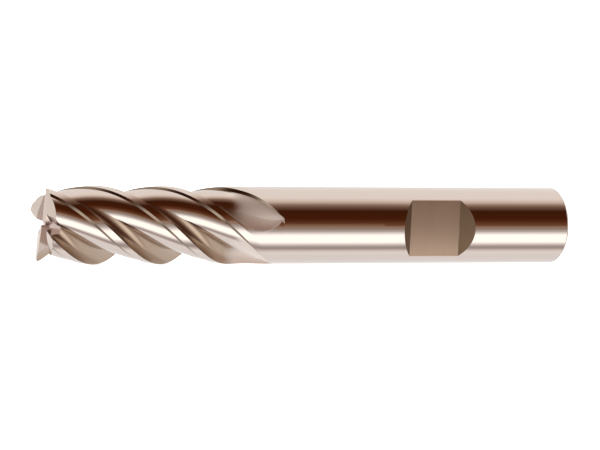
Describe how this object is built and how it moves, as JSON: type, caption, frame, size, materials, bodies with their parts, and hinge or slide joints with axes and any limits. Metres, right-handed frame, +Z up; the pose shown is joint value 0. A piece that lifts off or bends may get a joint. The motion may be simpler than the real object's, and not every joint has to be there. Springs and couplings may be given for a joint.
{
  "type": "end mill",
  "caption": "Short helical end mill with centre-cutting end teeth and a cylindrical shank with a Weldon clamping flat.",
  "frame": {"origin": "on the tool's axis, under the middle of the clamping flat, where a Weldon holder's screw points", "axes": "+X along the tool's axis towards the rear face (the cutting end is at -X), -Y is the outward normal of the clamping flat, +Z up"},
  "size_m": [0.072, 0.01, 0.01],
  "materials": {
    "cobalt_high_speed_steel": "ground and polished flutes",
    "tempering_steel": "fine cylindrical ground, bright"
  },
  "bodies": {
    "root": {"cutting_head": "cobalt_high_speed_steel", "shank": "tempering_steel"}
  },
  "joints": []
}
